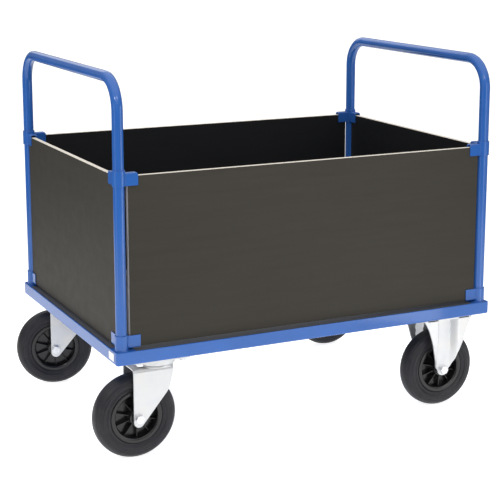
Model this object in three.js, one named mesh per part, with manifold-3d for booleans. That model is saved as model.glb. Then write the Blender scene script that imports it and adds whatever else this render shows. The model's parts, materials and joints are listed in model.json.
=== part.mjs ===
// Four-sided platform trolley: angle-steel deck frame, four plywood side panels held in corner sockets and
// top brackets, a push bow across each end, two swivel castors at the left end and two fixed castors at the
// right end. Millimetres, +Z up, X along the length, origin on the floor below the middle of the whole.
import * as THREE from "three";
import { mergeVertices } from "three/addons/utils/BufferGeometryUtils.js";
import Module from "manifold-3d";

const wasm = await Module();
wasm.setup();

// ---- driving dimensions ----------------------------------------------------------------------------------
const GAP = 0.3; // clearance between pieces that touch
const OVERRUN = 1; // how far a cut passes the face it opens, and a welded end sinks into its neighbour
const ROUND_FACETS = 16; // sides of tubes, sleeves, bores and pins

const DECK_LENGTH = 1000;
const DECK_WIDTH = 700;
const TOTAL_HEIGHT = 890;

const WHEEL_DIAMETER = 200;
const WHEEL_WIDTH = 50;
const WHEEL_FACETS = 32;
const CASTOR_HEIGHT = 239; // floor to the underside of the frame
const CASTOR_X = 384; // swivel and fixed castor axes, either side of the middle
const CASTOR_Y = 288;
const SWIVEL_OFFSET = 54; // kingpin to axle
const BACK_CASTOR_TURN = THREE.MathUtils.degToRad(-11.5); // the back swivel castor stands a little turned

const RAIL_HEIGHT = 31;
const RAIL_FLANGE = 30;
const STEEL = 4; // angle, channel, fork and plate thickness
const CORNER_RADIUS = 8;

const BOARD_THICKNESS = 12;
const BOARD_DROP = 1; // board surface below the rail's top edge
const BOARD_MARGIN = 1.5; // board edge to the rail's upright leg

const POST_X = 480; // axes of the bow legs
const POST_Y = 329;
const TUBE_RADIUS = 12.5;
const TUBE_WALL = 2;
const BEND_RADIUS = 70; // on the tube's centre line

const SLEEVE_RADIUS = 15;
const SLEEVE_LENGTH = 35; // of the top bracket's sleeve
const CLIP_SHEET = 2; // sheet thickness of the panel clips
const CLIP_REACH = 43; // from the post axis to the clip's free end
const CLIP_HEIGHT = 29;

const PANEL_THICKNESS = 12;
const PANEL_HEIGHT = 388;
const PANEL_TOP = 665;
const PANEL_END = 18.5; // post axis to the panel's end, which stops short of the post

// ---- sizes worked out from them --------------------------------------------------------------------------
const RAIL_TOP = CASTOR_HEIGHT + RAIL_HEIGHT;
const BOARD_TOP = RAIL_TOP - BOARD_DROP;
const BOARD_BOTTOM = BOARD_TOP - BOARD_THICKNESS;
const LIP_X = DECK_LENGTH / 2 - STEEL; // inner face of the rails' upright legs
const LIP_Y = DECK_WIDTH / 2 - STEEL;
const FLANGE_TOP = CASTOR_HEIGHT + STEEL;
const PANEL_BOTTOM = PANEL_TOP - PANEL_HEIGHT;
const BOW_CENTRE_Z = TOTAL_HEIGHT - TUBE_RADIUS;
const SLEEVE_BORE = TUBE_RADIUS + GAP;
const WHEEL_RADIUS = WHEEL_DIAMETER / 2;
const HALF_FACET = Math.PI / WHEEL_FACETS;
const AXLE_HEIGHT = WHEEL_RADIUS * Math.cos(HALF_FACET); // a flat of the faceted tyre is down

// ---- materials -------------------------------------------------------------------------------------------
const finish = (color, roughness, metalness) => ({ color, roughness, metalness });
const BLUE_COAT = finish(0x2f5fae, 0.4, 0.1);
const FILM_PLY = finish(0x4b4742, 0.5, 0);
const ZINC = finish(0xd5d9dc, 0.35, 0.9);
const RUBBER = finish(0x303034, 0.75, 0);
const PLASTIC = finish(0x17181a, 0.5, 0);
const BRIGHT_STEEL = finish(0xb4b8bc, 0.3, 0.9);
const PAPER = finish(0xf4f4f0, 0.6, 0);

const trolley = new THREE.Group();

function add(name, geometry, material, parent = trolley) {
  const mesh = new THREE.Mesh(geometry, new THREE.MeshStandardMaterial(material));
  mesh.name = name;
  parent.add(mesh);
  return mesh;
}

// ---- solids ----------------------------------------------------------------------------------------------
function solid(geometry) {
  const bare = geometry.index ? geometry.toNonIndexed() : geometry.clone();
  bare.deleteAttribute("normal");
  bare.deleteAttribute("uv");
  const merged = mergeVertices(bare, 1e-4);
  return new wasm.Manifold(
    new wasm.Mesh({
      numProp: 3,
      vertProperties: new Float32Array(merged.attributes.position.array),
      triVerts: new Uint32Array(merged.index.array),
    }),
  );
}

function geometryOf(manifold) {
  const mesh = manifold.getMesh();
  const geometry = new THREE.BufferGeometry();
  geometry.setAttribute("position", new THREE.BufferAttribute(mesh.vertProperties, 3));
  geometry.setIndex(new THREE.BufferAttribute(mesh.triVerts, 1));
  geometry.computeVertexNormals();
  return geometry;
}

function union(...geometries) {
  return geometryOf(geometries.map(solid).reduce((whole, piece) => whole.add(piece)));
}

function cut(geometry, ...tools) {
  return geometryOf(tools.map(solid).reduce((whole, tool) => whole.subtract(tool), solid(geometry)));
}

function common(a, b) {
  return geometryOf(solid(a).intersect(solid(b)));
}

// A box given by its lowest and highest corners.
function block(low, high) {
  const box = new THREE.BoxGeometry(high[0] - low[0], high[1] - low[1], high[2] - low[2]);
  return box.translate((low[0] + high[0]) / 2, (low[1] + high[1]) / 2, (low[2] + high[2]) / 2);
}

function shapeOf(points) {
  return new THREE.Shape(points.map(([x, y]) => new THREE.Vector2(x, y)));
}

function prism(shape, zLow, zHigh, curveSegments = 4) {
  const options = { depth: zHigh - zLow, bevelEnabled: false, curveSegments };
  return new THREE.ExtrudeGeometry(shape, options).translate(0, 0, zLow);
}

function roundedRectangle(halfX, halfY, radius) {
  const shape = new THREE.Shape();
  shape.absarc(halfX - radius, halfY - radius, radius, 0, Math.PI / 2);
  shape.absarc(-halfX + radius, halfY - radius, radius, Math.PI / 2, Math.PI);
  shape.absarc(-halfX + radius, -halfY + radius, radius, Math.PI, Math.PI * 1.5);
  shape.absarc(halfX - radius, -halfY + radius, radius, Math.PI * 1.5, Math.PI * 2);
  return shape;
}

// A ring round the Z axis with a rectangular section; an inner radius of 0 gives a disc.
function ringZ(inner, outer, zLow, zHigh, segments = ROUND_FACETS) {
  const profile = [
    new THREE.Vector2(inner, zLow),
    new THREE.Vector2(outer, zLow),
    new THREE.Vector2(outer, zHigh),
    new THREE.Vector2(inner, zHigh),
  ];
  if (inner > 0) profile.push(profile[0].clone());
  return new THREE.LatheGeometry(profile, segments).rotateX(Math.PI / 2);
}

// The same ring round the Y axis.
function ringY(inner, outer, yLow, yHigh, segments = ROUND_FACETS) {
  const profile = [
    new THREE.Vector2(inner, yLow),
    new THREE.Vector2(outer, yLow),
    new THREE.Vector2(outer, yHigh),
    new THREE.Vector2(inner, yHigh),
  ];
  if (inner > 0) profile.push(profile[0].clone());
  return new THREE.LatheGeometry(profile, segments);
}

// ---- deck frame ------------------------------------------------------------------------------------------
// Angle steel with its upright leg outside and its flange at the bottom, mitred at the corners.
function frameRing() {
  const outer = roundedRectangle(DECK_LENGTH / 2, DECK_WIDTH / 2, CORNER_RADIUS);
  outer.holes.push(roundedRectangle(LIP_X, LIP_Y, CORNER_RADIUS - STEEL));
  const leg = prism(outer, CASTOR_HEIGHT, RAIL_TOP);

  const flange = roundedRectangle(DECK_LENGTH / 2, DECK_WIDTH / 2, CORNER_RADIUS);
  const innerX = DECK_LENGTH / 2 - RAIL_FLANGE;
  const innerY = DECK_WIDTH / 2 - RAIL_FLANGE;
  flange.holes.push(new THREE.Path([
    new THREE.Vector2(-innerX, -innerY),
    new THREE.Vector2(innerX, -innerY),
    new THREE.Vector2(innerX, innerY),
    new THREE.Vector2(-innerX, innerY),
  ]));
  return union(leg, prism(flange, CASTOR_HEIGHT, FLANGE_TOP));
}

// The wedge of space that belongs to the rail on the -Y side, between the two 45 degree mitres.
function mitreWedge(halfLength, halfWidth) {
  const beyond = RAIL_FLANGE;
  const inside = 2 * RAIL_FLANGE;
  const weld = GAP / 2;
  const points = [
    [-halfLength - beyond + weld, -halfWidth - beyond],
    [halfLength + beyond - weld, -halfWidth - beyond],
    [halfLength - inside - weld, -halfWidth + inside],
    [-halfLength + inside + weld, -halfWidth + inside],
  ];
  return prism(shapeOf(points), CASTOR_HEIGHT - beyond, RAIL_TOP + beyond);
}

function buildFrame() {
  const ring = frameRing();
  const longWedge = mitreWedge(DECK_LENGTH / 2, DECK_WIDTH / 2);
  const shortWedge = mitreWedge(DECK_WIDTH / 2, DECK_LENGTH / 2);
  add("front_rail", common(ring, longWedge.clone()), BLUE_COAT);
  add("back_rail", common(ring, longWedge.clone().rotateZ(Math.PI)), BLUE_COAT);
  add("left_rail", common(ring, shortWedge.clone().rotateZ(-Math.PI / 2)), BLUE_COAT);
  add("right_rail", common(ring, shortWedge.clone().rotateZ(Math.PI / 2)), BLUE_COAT);
}

// A channel, open upwards, across the frame at each pair of castors: it carries them and the board.
const CHANNEL_HALF_WIDTH = 70;

function buildChannel(name, x) {
  const halfSpan = DECK_WIDTH / 2 - RAIL_FLANGE - GAP;
  const top = BOARD_BOTTOM - GAP;
  const low = [x - CHANNEL_HALF_WIDTH, -halfSpan, CASTOR_HEIGHT];
  const high = [x + CHANNEL_HALF_WIDTH, halfSpan, top];
  const trough = block(
    [low[0] + STEEL, low[1] - OVERRUN, CASTOR_HEIGHT + STEEL],
    [high[0] - STEEL, high[1] + OVERRUN, top + OVERRUN],
  );
  add(name, cut(block(low, high), trough), BLUE_COAT);
}

// ---- deck board ------------------------------------------------------------------------------------------
const GUSSET_SIZE = 44; // corner plate of each socket, let into a notch of the board

function buildBoard() {
  const halfX = LIP_X - BOARD_MARGIN;
  const halfY = LIP_Y - BOARD_MARGIN;
  const notchX = LIP_X - GUSSET_SIZE - 2 * GAP;
  const notchY = LIP_Y - GUSSET_SIZE - 2 * GAP;
  const quarter = [[halfX, notchY], [notchX, notchY], [notchX, halfY]];
  const inQuarter = (signX, signY) => quarter.map(([x, y]) => [signX * x, signY * y]);
  const outline = [
    ...inQuarter(1, 1),
    ...inQuarter(-1, 1).reverse(),
    ...inQuarter(-1, -1),
    ...inQuarter(1, -1).reverse(),
  ];
  add("deck_board", prism(shapeOf(outline), BOARD_BOTTOM, BOARD_TOP), FILM_PLY);
}

// ---- panel clips, corner sockets and top brackets --------------------------------------------------------
// A clip is a U of sheet steel that reaches from the post along +X. Its plates stand either side of a panel,
// and its web is under the panel's bottom edge (side -1) or over its top edge (side 1).
function clip(webOuterZ, side) {
  const halfOuter = PANEL_THICKNESS / 2 + GAP + CLIP_SHEET;
  const halfInner = halfOuter - CLIP_SHEET;
  const free = webOuterZ - side * CLIP_HEIGHT;
  const start = SLEEVE_BORE - OVERRUN;
  const webInner = webOuterZ - side * CLIP_SHEET;
  const body = block(
    [start, -halfOuter, Math.min(webOuterZ, free)],
    [CLIP_REACH, halfOuter, Math.max(webOuterZ, free)],
  );
  const slotEnd = free - side * OVERRUN;
  const slot = block(
    [start - OVERRUN, -halfInner, Math.min(webInner, slotEnd)],
    [CLIP_REACH + OVERRUN, halfInner, Math.max(webInner, slotEnd)],
  );
  return cut(body, slot);
}

// Both clips of a corner, for the post at +X +Y: one reaches along -X, the other along -Y.
function cornerClips(webOuterZ, side) {
  return [
    clip(webOuterZ, side).rotateZ(Math.PI),
    clip(webOuterZ, side).rotateZ(-Math.PI / 2),
  ];
}

function bore(zLow, zHigh) {
  return ringZ(0, SLEEVE_BORE, zLow, zHigh);
}

function socketGeometry() {
  const sleeveLow = FLANGE_TOP + GAP;
  const sleeveHigh = RAIL_TOP + SLEEVE_LENGTH;
  const outerX = LIP_X - GAP - POST_X;
  const outerY = LIP_Y - GAP - POST_Y;
  const innerX = outerX - GUSSET_SIZE;
  const innerY = outerY - GUSSET_SIZE;
  const gussetOutline = shapeOf([
    [innerX, innerY],
    [outerX, innerY],
    [outerX, outerY - CORNER_RADIUS],
    [outerX - CORNER_RADIUS, outerY],
    [innerX, outerY],
  ]);
  const gusset = prism(gussetOutline, RAIL_TOP - STEEL, RAIL_TOP);
  const webOuterZ = PANEL_BOTTOM - GAP - CLIP_SHEET;
  const welded = union(
    ringZ(0, SLEEVE_RADIUS, sleeveLow, sleeveHigh),
    gusset,
    ...cornerClips(webOuterZ, -1),
  );
  return cut(welded, bore(sleeveLow - OVERRUN, sleeveHigh + OVERRUN));
}

const CAP_CLEARANCE = 5.5; // panel top to the inside of the cap

function bracketGeometry() {
  const webOuterZ = PANEL_TOP + CAP_CLEARANCE + CLIP_SHEET;
  const sleeveHigh = webOuterZ + CAP_CLEARANCE;
  const sleeveLow = sleeveHigh - SLEEVE_LENGTH;
  const welded = union(ringZ(0, SLEEVE_RADIUS, sleeveLow, sleeveHigh), ...cornerClips(webOuterZ, 1));
  return cut(welded, bore(sleeveLow - OVERRUN, sleeveHigh + OVERRUN));
}

// The four corners, with the signs that mirror the +X +Y corner's piece to each of them.
const CORNERS = [
  { name: "front_left", x: -1, y: -1 },
  { name: "back_left", x: -1, y: 1 },
  { name: "front_right", x: 1, y: -1 },
  { name: "back_right", x: 1, y: 1 },
];

// A mirrored copy keeps its faces pointing out, because the order of each triangle's corners is reversed.
function mirrored(geometry, signX, signY) {
  const copy = geometry.clone().scale(signX, signY, 1);
  if (signX * signY < 0) {
    const index = copy.index.array;
    for (let i = 0; i < index.length; i += 3) {
      const first = index[i];
      index[i] = index[i + 2];
      index[i + 2] = first;
    }
  }
  copy.computeVertexNormals();
  return copy;
}

function buildCorners() {
  const socket = socketGeometry();
  const bracket = bracketGeometry();
  for (const corner of CORNERS) {
    for (const [piece, geometry] of [["socket", socket], ["panel_bracket", bracket]]) {
      const mesh = add(`${corner.name}_${piece}`, mirrored(geometry, corner.x, corner.y), BLUE_COAT);
      mesh.position.set(corner.x * POST_X, corner.y * POST_Y, 0);
    }
  }
}

// ---- push bows -------------------------------------------------------------------------------------------
const BEND_STEPS = 6;

// Up one leg, across and down the other, with a step only where the tube bends.
class BowCurve extends THREE.Curve {
  constructor() {
    super();
    const centreY = POST_Y - BEND_RADIUS;
    const centreZ = BOW_CENTRE_Z - BEND_RADIUS;
    const foot = FLANGE_TOP + 2 * GAP;
    this.stops = [new THREE.Vector3(0, -POST_Y, foot)];
    for (const side of [-1, 1]) {
      for (let step = 0; step <= BEND_STEPS; step++) {
        const turn = (Math.PI / 2) * (step / BEND_STEPS);
        const angle = side < 0 ? Math.PI - turn : Math.PI / 2 - turn;
        const y = side * centreY + BEND_RADIUS * Math.cos(angle);
        this.stops.push(new THREE.Vector3(0, y, centreZ + BEND_RADIUS * Math.sin(angle)));
      }
    }
    this.stops.push(new THREE.Vector3(0, POST_Y, foot));
  }

  getPoint(t, target = new THREE.Vector3()) {
    const place = t * (this.stops.length - 1);
    const before = Math.min(Math.floor(place), this.stops.length - 2);
    return target.lerpVectors(this.stops[before], this.stops[before + 1], place - before);
  }

  // Every stop is one step of the sweep, whatever its distance from the last one.
  getPointAt(u, target) {
    return this.getPoint(u, target);
  }

  getTangentAt(u, target = new THREE.Vector3()) {
    const half = 0.5 / (this.stops.length - 1);
    const ahead = this.getPoint(Math.min(u + half, 1));
    const behind = this.getPoint(Math.max(u - half, 0));
    const toAhead = ahead.clone().sub(this.getPoint(u));
    const fromBehind = this.getPoint(u).sub(behind);
    for (const part of [toAhead, fromBehind]) {
      if (part.lengthSq() > 0) target.add(part.normalize());
    }
    return target.normalize();
  }
}

function buildBow(name, x) {
  const section = new THREE.Shape().absarc(0, 0, TUBE_RADIUS, 0, Math.PI * 2);
  section.holes.push(new THREE.Path().absarc(0, 0, TUBE_RADIUS - TUBE_WALL, 0, Math.PI * 2, true));
  const extrudePath = new BowCurve();
  const steps = extrudePath.stops.length - 1;
  const tube = new THREE.ExtrudeGeometry(section, { steps, extrudePath, curveSegments: ROUND_FACETS / 2 });
  add(name, geometryOf(solid(tube)), BLUE_COAT).position.x = x;
}

// ---- side panels and label -------------------------------------------------------------------------------
function buildPanels() {
  const halfLong = POST_X - PANEL_END;
  const halfShort = POST_Y - PANEL_END;
  const half = PANEL_THICKNESS / 2;
  for (const [name, side] of [["front_panel", -1], ["back_panel", 1]]) {
    const y = side * POST_Y;
    add(name, block([-halfLong, y - half, PANEL_BOTTOM], [halfLong, y + half, PANEL_TOP]), FILM_PLY);
  }
  for (const [name, side] of [["left_panel", -1], ["right_panel", 1]]) {
    const x = side * POST_X;
    add(name, block([x - half, -halfShort, PANEL_BOTTOM], [x + half, halfShort, PANEL_TOP]), FILM_PLY);
  }
}

const LABEL_SIZE = [32, 18];
const LABEL_CENTRE = [-318, 256];
const LABEL_THICKNESS = 0.4;

function buildLabel() {
  const face = -DECK_LENGTH / 2 - GAP;
  const [halfY, halfZ] = LABEL_SIZE.map((size) => size / 2);
  const [y, z] = LABEL_CENTRE;
  add("blank_label", block(
    [face - LABEL_THICKNESS, y - halfY, z - halfZ],
    [face, y + halfY, z + halfZ],
  ), PAPER);
}

// ---- wheels ----------------------------------------------------------------------------------------------
const RIM_RADIUS = 63;
const RIM_INNER_RADIUS = 51;
const RIM_HALF_WIDTH = 20;
const HUB_RADIUS = 20;
const TYRE_BULGE = 24; // depth of the rounded part of the tyre's section
const TYRE_FULLNESS = 2.42; // exponent of the superellipse: 2 is round, more is squarer
const TYRE_STEPS = 6;
const HUB_HALF_WIDTH = 26;
const WEB_HALF_THICKNESS = 3;
const SPOKES = 10;
const SPOKE_START = THREE.MathUtils.degToRad(16); // the first spoke's turn about the axle
const SPOKE_THICKNESS = 3;
const SPOKE_HALF_WIDTH = 15;
const SPOKE_SINK = 2; // each end of a spoke, inside the hub or the ring
const AXLE_RADIUS = 6;
const BUSH_RADIUS = 10;
const FORK_HALF_INSIDE = 30.5;
const FORK_HALF_OUTSIDE = FORK_HALF_INSIDE + STEEL;

// A rounded section: the outer half is a superellipse and the inner half narrows straight to the bead.
function tyreGeometry() {
  const power = 2 / TYRE_FULLNESS;
  const bead = RIM_RADIUS + GAP;
  const profile = [new THREE.Vector2(bead, -RIM_HALF_WIDTH)];
  for (let step = 0; step <= TYRE_STEPS; step++) {
    const angle = Math.PI * (step / TYRE_STEPS) - Math.PI / 2;
    const outwards = Math.abs(Math.cos(angle)) ** power;
    const sideways = Math.sign(Math.sin(angle)) * Math.abs(Math.sin(angle)) ** power;
    const radius = WHEEL_RADIUS - TYRE_BULGE + TYRE_BULGE * outwards;
    profile.push(new THREE.Vector2(radius, (WHEEL_WIDTH / 2) * sideways));
  }
  profile.push(new THREE.Vector2(bead, RIM_HALF_WIDTH));
  profile.push(profile[0].clone());
  return new THREE.LatheGeometry(profile, WHEEL_FACETS).rotateY(HALF_FACET);
}

function rimGeometry() {
  const inner = HUB_RADIUS - SPOKE_SINK;
  const outer = RIM_INNER_RADIUS + SPOKE_SINK;
  const spokes = [];
  for (let i = 0; i < SPOKES; i++) {
    const spoke = block(
      [inner, -SPOKE_HALF_WIDTH, -SPOKE_THICKNESS / 2],
      [outer, SPOKE_HALF_WIDTH, SPOKE_THICKNESS / 2],
    );
    spokes.push(spoke.rotateY(SPOKE_START + (2 * Math.PI * i) / SPOKES));
  }
  const ring = ringY(RIM_INNER_RADIUS, RIM_RADIUS, -RIM_HALF_WIDTH, RIM_HALF_WIDTH, WHEEL_FACETS);
  const web = ringY(
    HUB_RADIUS - OVERRUN,
    RIM_INNER_RADIUS + OVERRUN,
    -WEB_HALF_THICKNESS,
    WEB_HALF_THICKNESS,
  );
  return union(
    ring.rotateY(HALF_FACET),
    ringY(BUSH_RADIUS + GAP, HUB_RADIUS, -HUB_HALF_WIDTH, HUB_HALF_WIDTH),
    web,
    ...spokes,
  );
}

function buildWheel(corner, parent) {
  add(`${corner}_tyre`, tyreGeometry(), RUBBER, parent);
  add(`${corner}_rim`, rimGeometry(), PLASTIC, parent);
  const bushEnd = FORK_HALF_INSIDE - 2 * GAP;
  const bush = ringY(AXLE_RADIUS + GAP, BUSH_RADIUS, -bushEnd, bushEnd);
  add(`${corner}_wheel_bush`, bush, BRIGHT_STEEL, parent);
}

const HEX_RADIUS = 11; // across the corners, halved
const HEX_SIDES = 6;
const BOLT_HEAD = 8;
const NUT_HEIGHT = 10;
const THREAD_END = 3; // bolt's end past its nut

function buildAxle(corner, parent) {
  const face = FORK_HALF_OUTSIDE + GAP;
  const bolt = union(
    ringY(0, HEX_RADIUS, -face - BOLT_HEAD, -face, HEX_SIDES),
    ringY(0, AXLE_RADIUS, -face - OVERRUN, face + NUT_HEIGHT + THREAD_END),
  );
  add(`${corner}_axle_bolt`, bolt, BRIGHT_STEEL, parent);
  const nut = cut(
    ringY(0, HEX_RADIUS, face, face + NUT_HEIGHT, HEX_SIDES),
    ringY(0, AXLE_RADIUS + GAP, face - OVERRUN, face + NUT_HEIGHT + OVERRUN),
  );
  add(`${corner}_axle_nut`, nut, BRIGHT_STEEL, parent);
}

// ---- castor forks ----------------------------------------------------------------------------------------
const LEG_ROWS = 14; // steps down the outline of a leg
const TIP_CUT = 0.5; // the flat at the bottom of a leg's round tip

// A leg of sheet steel that stands in the XZ plane. columns(z) gives the X of each of its upright lines, from
// edge to edge, and outer(x, z) the distance of its outer face from the wheel's middle; side is -1 or 1.
function forkLeg(side, zLow, zHigh, columns, outer) {
  const strips = columns(zHigh).length - 1;
  const sheet = new THREE.BoxGeometry(1, 1, 1, strips, 1, LEG_ROWS);
  const position = sheet.attributes.position;
  for (let i = 0; i < position.count; i++) {
    const z = zLow + (position.getZ(i) + 0.5) * (zHigh - zLow);
    const x = columns(z)[Math.round((position.getX(i) + 0.5) * strips)];
    const y = side * (outer(x, z) - STEEL / 2) + position.getY(i) * STEEL;
    position.setXYZ(i, x, y, z);
  }
  return sheet;
}

// Straight lines between [z, value] stops, in order of z.
function between(stops, z) {
  const above = Math.max(1, stops.findIndex(([level]) => level >= z));
  const [z0, v0] = stops[above - 1];
  const [z1, v1] = stops[above];
  return THREE.MathUtils.lerp(v0, v1, THREE.MathUtils.clamp((z - z0) / (z1 - z0), 0, 1));
}

const PLATE_HALF_X = 70;
const PLATE_HALF_Y = 55;
const PLATE_TOP = CASTOR_HEIGHT - GAP;
const PLATE_BOTTOM = PLATE_TOP - STEEL;
const KINGPIN_RADIUS = 8;

function axleHole(x) {
  return ringY(0, AXLE_RADIUS + GAP, -PLATE_HALF_Y, PLATE_HALF_Y).translate(x, 0, AXLE_HEIGHT);
}

// Swivel castor, modelled about its kingpin with the wheel trailing towards -X.
const CUP_RADIUS = 47;
const CUP_DEPTH = 13;
const CUP_WALL = 3;
const RACE_DEPTH = 5;
const BALL_TRACK = 36;
const BALL_RADIUS = 3.4;
const BALL_RING_SIDES = 6;
const RACE_INNER_RADIUS = BALL_TRACK - 6;
const RACE_OUTER_RADIUS = CUP_RADIUS - 2;

const NECK_RADIUS = 42; // the raised middle of the crown, inside the cup
const NECK_IN_CUP = 1;
const CROWN_DEPTH = 12; // from the top of the neck to the underside of the crown
const CROWN_TOP = PLATE_BOTTOM - CUP_DEPTH + NECK_IN_CUP;
const CROWN_BOTTOM = CROWN_TOP - CROWN_DEPTH;
const CROWN_SHEET = 6;
const FORK_FRONT = 33; // leading and trailing edges of the crown
const FORK_BACK = -66;
const SWIVEL_TIP = { x: -53.5, z: 91, radius: 12.5 };
const LEADING_EDGE = [[82.5, -44.5], [161, 21], [203, 31], [CROWN_TOP, FORK_FRONT]]; // [z, x]

const KINGPIN_HEX_RADIUS = 14;
const KINGPIN_NUT_HEIGHT = 9;

function swivelPlateGeometry() {
  const top = PLATE_BOTTOM + OVERRUN;
  return union(
    block([-PLATE_HALF_X, -PLATE_HALF_Y, PLATE_BOTTOM], [PLATE_HALF_X, PLATE_HALF_Y, PLATE_TOP]),
    ringZ(CUP_RADIUS - CUP_WALL, CUP_RADIUS, PLATE_BOTTOM - CUP_DEPTH, top),
    ringZ(RACE_INNER_RADIUS, RACE_OUTER_RADIUS, PLATE_BOTTOM - RACE_DEPTH, top),
  );
}

// Two X edges of the swivel fork's leg: it hangs straight at the back, slopes at the front and ends in a
// round tip.
function swivelLegEdges(z) {
  const slope = between(LEADING_EDGE, z);
  if (z >= SWIVEL_TIP.z) return [FORK_BACK, slope];
  const half = Math.sqrt(SWIVEL_TIP.radius ** 2 - (SWIVEL_TIP.z - z) ** 2);
  const round = SWIVEL_TIP.x + half;
  const slopeStart = LEADING_EDGE[0][0];
  return [SWIVEL_TIP.x - half, z < slopeStart ? round : Math.min(round, slope)];
}

function swivelForkGeometry() {
  const tipBottom = SWIVEL_TIP.z - SWIVEL_TIP.radius + TIP_CUT;
  const crownHigh = CROWN_BOTTOM + CROWN_SHEET;
  const legTop = crownHigh - OVERRUN;
  const outer = () => FORK_HALF_OUTSIDE;
  const legs = [-1, 1].map((side) => forkLeg(side, tipBottom, legTop, swivelLegEdges, outer));
  const crown = block(
    [FORK_BACK, -FORK_HALF_OUTSIDE, CROWN_BOTTOM],
    [FORK_FRONT, FORK_HALF_OUTSIDE, crownHigh],
  );
  return cut(
    union(...legs, crown, ringZ(0, NECK_RADIUS, CROWN_BOTTOM, CROWN_TOP)),
    ringZ(0, KINGPIN_RADIUS + GAP, CROWN_BOTTOM - OVERRUN, CROWN_TOP + OVERRUN),
    axleHole(-SWIVEL_OFFSET),
  );
}

function kingpinGeometry() {
  const top = PLATE_BOTTOM - GAP;
  const nutTop = CROWN_BOTTOM - GAP;
  const nutBottom = nutTop - KINGPIN_NUT_HEIGHT;
  return union(
    ringZ(0, KINGPIN_HEX_RADIUS, CROWN_TOP + GAP, top),
    ringZ(0, KINGPIN_RADIUS, nutBottom, top - OVERRUN),
    ringZ(0, KINGPIN_HEX_RADIUS, nutBottom, nutTop, HEX_SIDES),
  );
}

function ballRingGeometry() {
  const z = (CROWN_TOP + PLATE_BOTTOM - RACE_DEPTH) / 2;
  const ring = new THREE.TorusGeometry(BALL_TRACK, BALL_RADIUS, BALL_RING_SIDES, ROUND_FACETS);
  return ring.translate(0, 0, z);
}

function buildSwivelCastor(corner, y, turn) {
  const castor = new THREE.Group();
  castor.position.set(-CASTOR_X, y, 0);
  trolley.add(castor);
  add(`${corner}_castor_plate`, swivelPlateGeometry(), ZINC, castor);
  add(`${corner}_ball_ring`, ballRingGeometry(), BRIGHT_STEEL, castor);
  add(`${corner}_kingpin`, kingpinGeometry(), BRIGHT_STEEL, castor);

  const turned = new THREE.Group();
  turned.rotation.z = turn;
  castor.add(turned);
  add(`${corner}_fork`, swivelForkGeometry(), ZINC, turned);
  const axle = new THREE.Group();
  axle.position.set(-SWIVEL_OFFSET, 0, AXLE_HEIGHT);
  turned.add(axle);
  buildAxle(corner, axle);
  buildWheel(corner, axle);
}

// Fixed castor: top plate and legs pressed from one sheet. Each leg has a straight upright band down its
// middle, which holds the axle, between flanges that flare out to the plate's long edges.
const FIXED_TIP_RADIUS = 15.5;
const BAND_HALF_WIDTH = 17;
const FLANGE_START = 30; // the band's sloping sides end here, from the middle
const LEG_HALF_WIDTHS = [ // [z, half width]
  [AXLE_HEIGHT, 15.5],
  [107, 21.5],
  [125, 28],
  [153, 38],
  [185, 47],
  [209, 54.5],
  [225, 62.5],
  [PLATE_TOP, PLATE_HALF_X],
];
const FLANGE_OUTER = [ // [z, y of the flange's outer face]
  [AXLE_HEIGHT, FORK_HALF_OUTSIDE],
  [125, 45],
  [150, 51],
  [172, PLATE_HALF_Y],
  [PLATE_TOP, PLATE_HALF_Y],
];

function fixedLegColumns(z) {
  const drop = AXLE_HEIGHT - z;
  const edge = drop > 0 ? Math.sqrt(FIXED_TIP_RADIUS ** 2 - drop ** 2) : between(LEG_HALF_WIDTHS, z);
  const band = Math.min(BAND_HALF_WIDTH, edge * 0.8);
  const flange = Math.min(FLANGE_START, edge * 0.9);
  return [-edge, -flange, -band, band, flange, edge];
}

function fixedLegOuter(x, z) {
  const slope = (Math.abs(x) - BAND_HALF_WIDTH) / (FLANGE_START - BAND_HALF_WIDTH);
  const flange = between(FLANGE_OUTER, Math.max(z, AXLE_HEIGHT));
  return THREE.MathUtils.lerp(FORK_HALF_OUTSIDE, flange, THREE.MathUtils.clamp(slope, 0, 1));
}

function fixedForkGeometry() {
  const tipBottom = AXLE_HEIGHT - FIXED_TIP_RADIUS + TIP_CUT;
  const legTop = PLATE_TOP - OVERRUN;
  const legs = [-1, 1].map((side) => forkLeg(side, tipBottom, legTop, fixedLegColumns, fixedLegOuter));
  const plate = block(
    [-PLATE_HALF_X, -PLATE_HALF_Y, PLATE_BOTTOM],
    [PLATE_HALF_X, PLATE_HALF_Y, PLATE_TOP],
  );
  return cut(union(...legs, plate), axleHole(0));
}

function buildFixedCastor(corner, y) {
  const castor = new THREE.Group();
  castor.position.set(CASTOR_X, y, 0);
  trolley.add(castor);
  add(`${corner}_fork`, fixedForkGeometry(), ZINC, castor);
  const axle = new THREE.Group();
  axle.position.set(0, 0, AXLE_HEIGHT);
  castor.add(axle);
  buildAxle(corner, axle);
  buildWheel(corner, axle);
}

// ---- assembly --------------------------------------------------------------------------------------------
buildFrame();
buildChannel("left_castor_channel", -CASTOR_X);
buildChannel("right_castor_channel", CASTOR_X);
buildBoard();
buildCorners();
buildBow("left_push_bow", -POST_X);
buildBow("right_push_bow", POST_X);
buildPanels();
buildLabel();
buildSwivelCastor("front_left", -CASTOR_Y, 0);
buildSwivelCastor("back_left", CASTOR_Y, BACK_CASTOR_TURN);
buildFixedCastor("front_right", -CASTOR_Y);
buildFixedCastor("back_right", CASTOR_Y);

// The wheels of the swivel castors stand out past the deck, so the whole is longer than the deck.
const leftEnd = -(CASTOR_X + SWIVEL_OFFSET + AXLE_HEIGHT);
trolley.position.x = -(leftEnd + DECK_LENGTH / 2) / 2;

export default trolley;
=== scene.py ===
import json
import math

import bmesh
import bpy
from mathutils import Matrix, Vector


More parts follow.
